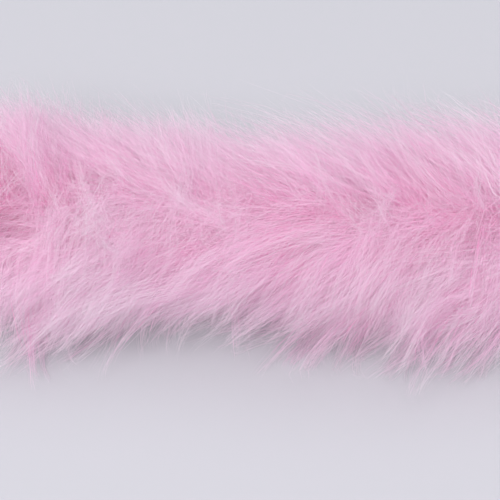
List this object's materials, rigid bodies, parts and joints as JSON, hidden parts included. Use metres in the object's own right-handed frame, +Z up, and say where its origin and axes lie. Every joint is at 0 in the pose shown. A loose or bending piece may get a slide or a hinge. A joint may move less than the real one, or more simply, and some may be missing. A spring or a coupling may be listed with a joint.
{
  "type": "feather boa",
  "caption": "Fluffy pink feather boa of downy plumes bound round a soft cord, laid in an open loop, with a knot at each end.",
  "frame": {"origin": "on the surface that the boa lies on, under the middle of its loop", "axes": "+Z up, +X along the front stretch, from the left end's side to the right end's side, +Y from the front stretch to the gap between the ends"},
  "size_m": [0.8294, 0.584, 0.0735],
  "materials": {
    "marabou_down": "soft matt down, deep pink at the root and pale at the tip",
    "core_cord": "matt two-ply cotton cord, dyed pale pink",
    "binding_thread": "matt spun thread, pink"
  },
  "bodies": {
    "left_4": {"left_4_core_cord": "core_cord", "left_4_binding_thread": "binding_thread", "left_4_plumes": "marabou_down", "left_cord_tail": "core_cord", "left_end_knot": "core_cord", "left_end_whipping": "binding_thread"},
    "left_3": {"left_3_core_cord": "core_cord", "left_3_binding_thread": "binding_thread", "left_3_plumes": "marabou_down"},
    "left_2": {"left_2_core_cord": "core_cord", "left_2_binding_thread": "binding_thread", "left_2_plumes": "marabou_down"},
    "left_1": {"left_1_core_cord": "core_cord", "left_1_binding_thread": "binding_thread", "left_1_plumes": "marabou_down"},
    "middle": {"middle_core_cord": "core_cord", "middle_binding_thread": "binding_thread", "middle_plumes": "marabou_down"},
    "right_1": {"right_1_core_cord": "core_cord", "right_1_binding_thread": "binding_thread", "right_1_plumes": "marabou_down"},
    "right_2": {"right_2_core_cord": "core_cord", "right_2_binding_thread": "binding_thread", "right_2_plumes": "marabou_down"},
    "right_3": {"right_3_core_cord": "core_cord", "right_3_binding_thread": "binding_thread", "right_3_plumes": "marabou_down"},
    "right_4": {"right_4_core_cord": "core_cord", "right_4_binding_thread": "binding_thread", "right_4_plumes": "marabou_down", "right_cord_tail": "core_cord", "right_end_knot": "core_cord", "right_end_whipping": "binding_thread"}
  },
  "joints": [
    {"name": "left_1_bend", "type": "hinge", "parent": "middle", "child": "left_1", "pos_m": [-0.184, -0.2405, 0.033], "axis": [0, 0, 1], "range_deg": [-3, 24]},
    {"name": "left_2_bend", "type": "hinge", "parent": "left_1", "child": "left_2", "pos_m": [-0.333, -0.153, 0.033], "axis": [0, 0, 1], "range_deg": [-4, 26]},
    {"name": "left_3_bend", "type": "hinge", "parent": "left_2", "child": "left_3", "pos_m": [-0.3745, 0.0145, 0.033], "axis": [0, 0, 1], "range_deg": [-4, 28]},
    {"name": "left_4_bend", "type": "hinge", "parent": "left_3", "child": "left_4", "pos_m": [-0.301, 0.1725, 0.033], "axis": [0, 0, 1], "range_deg": [-9, 30]},
    {"name": "right_1_bend", "type": "hinge", "parent": "middle", "child": "right_1", "pos_m": [0.1695, -0.238, 0.033], "axis": [0, 0, -1], "range_deg": [-3, 24]},
    {"name": "right_2_bend", "type": "hinge", "parent": "right_1", "child": "right_2", "pos_m": [0.3225, -0.154, 0.033], "axis": [0, 0, -1], "range_deg": [-4, 26]},
    {"name": "right_3_bend", "type": "hinge", "parent": "right_2", "child": "right_3", "pos_m": [0.3765, 0.0095, 0.033], "axis": [0, 0, -1], "range_deg": [-4, 28]},
    {"name": "right_4_bend", "type": "hinge", "parent": "right_3", "child": "right_4", "pos_m": [0.3115, 0.171, 0.033], "axis": [0, 0, -1], "range_deg": [-9, 30]}
  ]
}
